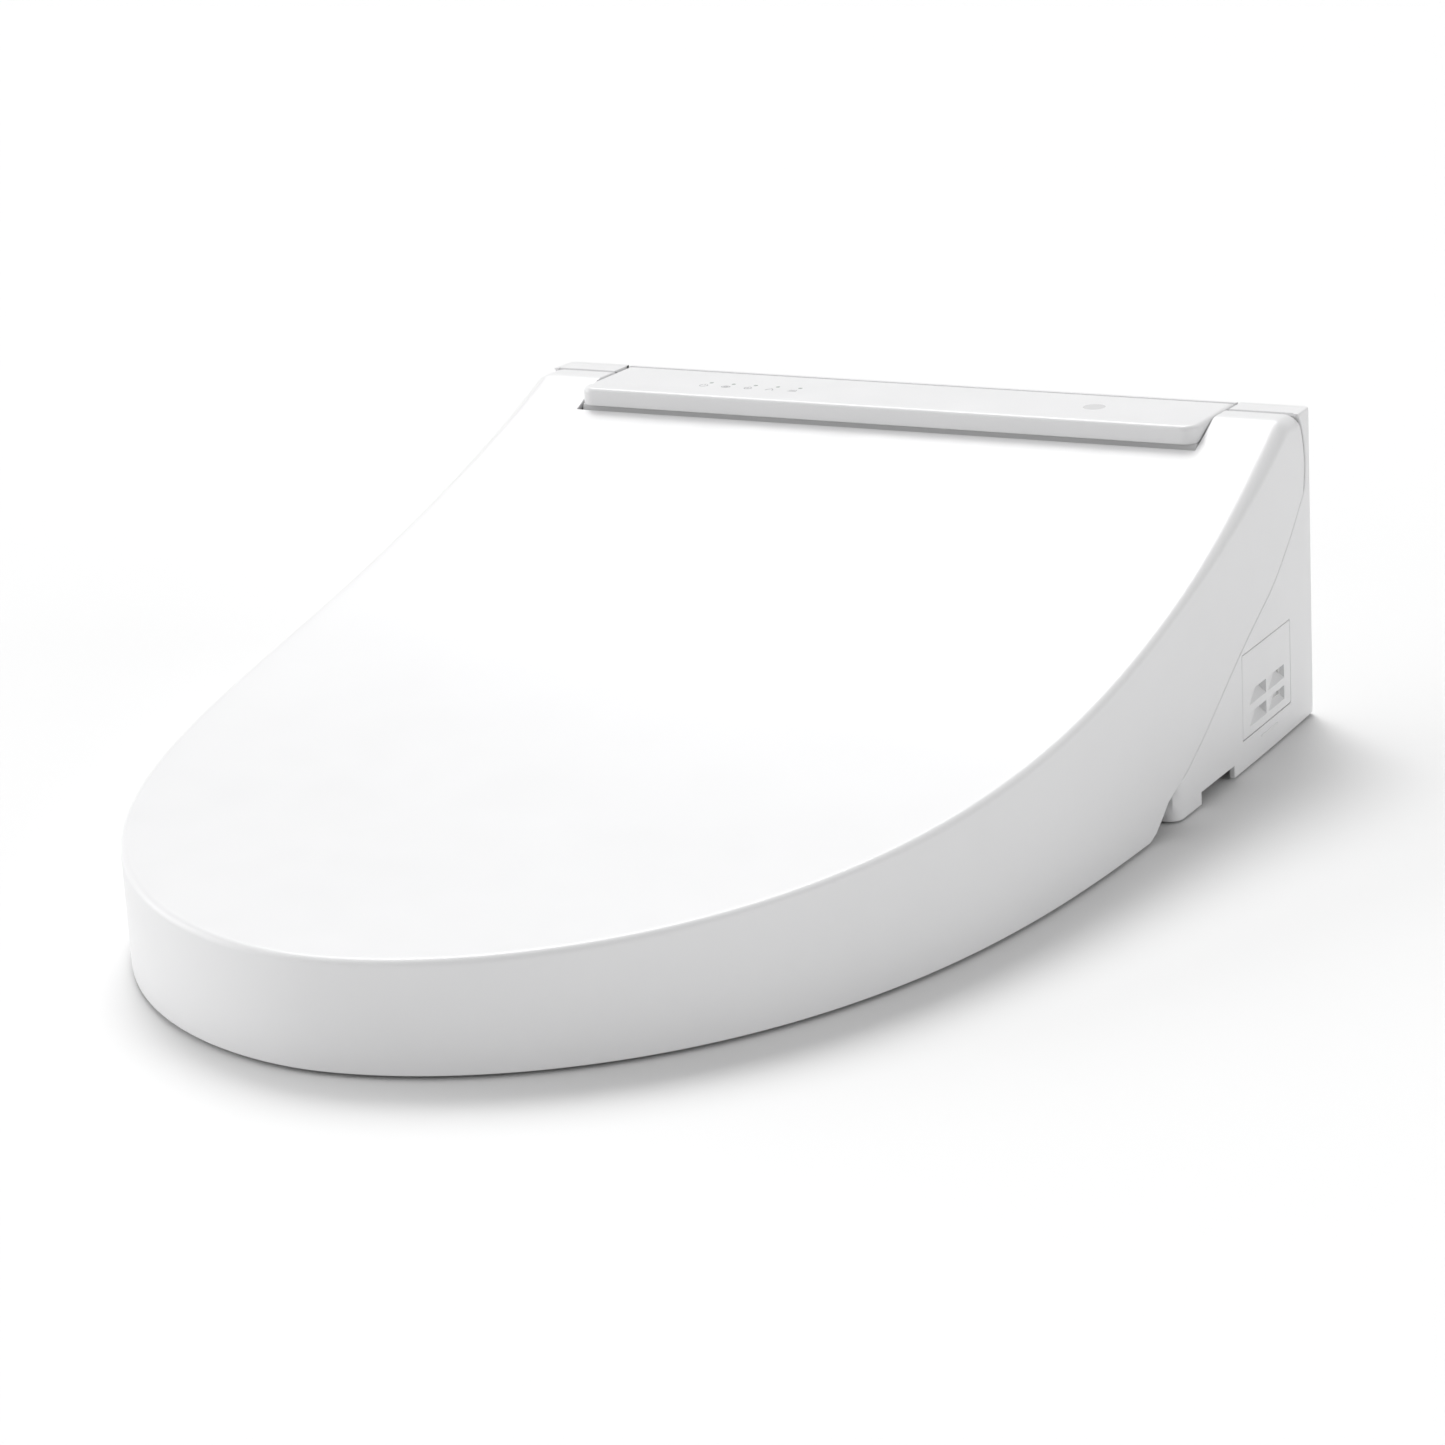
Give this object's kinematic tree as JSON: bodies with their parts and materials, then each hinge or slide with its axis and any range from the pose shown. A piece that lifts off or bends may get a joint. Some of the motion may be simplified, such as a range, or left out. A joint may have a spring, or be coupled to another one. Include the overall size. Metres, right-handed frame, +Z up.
{
  "type": "electric bidet seat",
  "caption": "Electric bidet seat for an elongated toilet bowl: lifting lid and heated seat on a rear housing with spray wand, warm-air dryer, deodoriser and slide-on base plate.",
  "frame": {"origin": "midway between the two bowl bolts, in the slots of the base plate, on the plane of the bowl's rim", "axes": "+Z up, -Y towards the front of the seat, +X towards the side cover with the deodoriser vent and the release button"},
  "size_m": [0.383, 0.53, 0.14],
  "materials": {
    "white_gloss": "smooth injection-moulded gloss",
    "seat_plastic": "gloss, slightly softer",
    "white_matte": "fine moulded texture",
    "grey_plastic": "fine moulded texture",
    "ivory_plastic": "natural acetal",
    "wand_plastic": "smooth",
    "rubber_grey": "soft matte",
    "rubber_black": "soft matte",
    "steel": "bright stainless",
    "motor_steel": "zinc-plated can",
    "dark_plastic": "glass-filled, satin",
    "smoked_window": "smoked infrared window",
    "lens_green": "translucent lens",
    "carbon": "activated carbon granules",
    "heater_foil": "foil with heater cord",
    "nichrome": "heat-tinted wire on mica",
    "board_green": "solder resist",
    "hose_blue": "silicone hose",
    "cable_red": "ribbon cable sheath"
  },
  "bodies": {
    "base": {"base_plate": "grey_plastic", "base_pads": "rubber_grey"},
    "housing": {"chassis": "white_matte", "housing_cover": "white_gloss", "nozzle_bay_cover": "white_gloss", "control_panel": "white_gloss", "indicator_lenses": "lens_green", "receiver_window": "smoked_window", "side_cover_right": "white_gloss", "side_cover_left": "white_gloss", "case_screws": "steel", "hinge_pin_right": "steel", "hinge_pin_left": "steel", "seat_damper": "dark_plastic", "lid_damper": "dark_plastic", "deodoriser_scroll": "grey_plastic", "deodoriser_motor": "motor_steel", "button_spring": "steel", "wand_guide": "grey_plastic", "wand_motor": "motor_steel", "inlet_port": "grey_plastic", "inlet_strainer": "steel", "shutoff_valve": "dark_plastic", "pressure_regulator": "ivory_plastic", "heater_tank": "ivory_plastic", "tank_element": "steel", "flow_diverter": "grey_plastic", "diverter_motor": "motor_steel", "water_hoses": "hose_blue", "dryer_scroll": "grey_plastic", "dryer_heater": "nichrome", "dryer_duct": "grey_plastic", "control_board": "board_green", "board_parts": "dark_plastic", "power_supply": "dark_plastic", "wiring_harness": "cable_red", "cord_gland": "rubber_grey"},
    "lid": {"lid_shell": "white_gloss", "lid_ears": "white_matte", "lid_pads": "white_matte"},
    "seat": {"seat_top_shell": "seat_plastic", "seat_bottom": "seat_plastic", "seat_heater": "heater_foil", "seat_bumpers": "rubber_grey", "seat_bushes": "ivory_plastic"},
    "cartridge": {"vent_cover": "white_gloss", "cartridge_tray": "white_matte", "carbon_filter": "carbon"},
    "deodoriser_fan": {"deodoriser_impeller": "dark_plastic"},
    "button": {"release_button": "white_gloss", "release_latch": "white_matte"},
    "wand": {"wand": "wand_plastic", "wand_tip": "wand_plastic", "wand_shield": "white_gloss", "wand_rack": "ivory_plastic"},
    "pinion": {"wand_pinion": "ivory_plastic"},
    "drain": {"drain_valve": "white_matte", "drain_seal": "rubber_black"},
    "dryer_fan": {"dryer_impeller": "dark_plastic"},
    "flap": {"dryer_flap": "white_gloss"}
  },
  "joints": [
    {"name": "unit_slide", "type": "slide", "parent": "base", "child": "housing", "axis": [0, -1, 0], "range_m": [0, 0.05]},
    {"name": "seat_hinge", "type": "hinge", "parent": "housing", "child": "seat", "pos_m": [0, 0.029, 0.129], "axis": [-1, 0, 0], "range_deg": [0, 98]},
    {"name": "lid_hinge", "type": "hinge", "parent": "seat", "child": "lid", "pos_m": [0, 0.029, 0.129], "axis": [1, 0, 0], "range_deg": [-105, 0]},
    {"name": "button_press", "type": "slide", "parent": "housing", "child": "button", "axis": [-1, 0, 0], "range_m": [0, 0.003], "stiffness_N_per_m": 600, "springref_m": -0.004, "deforming": ["button_spring"]},
    {"name": "cartridge_slide", "type": "slide", "parent": "housing", "child": "cartridge", "axis": [1, 0, 0], "range_m": [0, 0.06]},
    {"name": "wand_slide", "type": "slide", "parent": "housing", "child": "wand", "axis": [0, -0.9063, -0.4226], "range_m": [0, 0.095]},
    {"name": "pinion_turn", "type": "hinge", "parent": "housing", "child": "pinion", "pos_m": [0.0205, -0.10256, 0.03366], "axis": [0, -0.4226, 0.9063], "range_deg": [-700, 700]},
    {"name": "drain_turn", "type": "hinge", "parent": "housing", "child": "drain", "pos_m": [-0.18, -0.023, 0.028], "axis": [-1, 0, 0], "range_deg": [0, 90]},
    {"name": "deodoriser_fan_spin", "type": "hinge", "parent": "housing", "child": "deodoriser_fan", "pos_m": [0.124, -0.0064, 0.046], "axis": [1, 0, 0], "continuous": true},
    {"name": "dryer_fan_spin", "type": "hinge", "parent": "housing", "child": "dryer_fan", "pos_m": [0.066, -0.011, 0.03], "axis": [0, 0, 1], "continuous": true},
    {"name": "dryer_flap_swing", "type": "hinge", "parent": "housing", "child": "flap", "pos_m": [0.054, -0.13675, 0.0208], "axis": [-1, 0, 0], "range_deg": [0, 60]}
  ],
  "couplings": [
    {"joint": "pinion_turn", "follows": "wand_slide", "rad_per_m": 111.11}
  ]
}
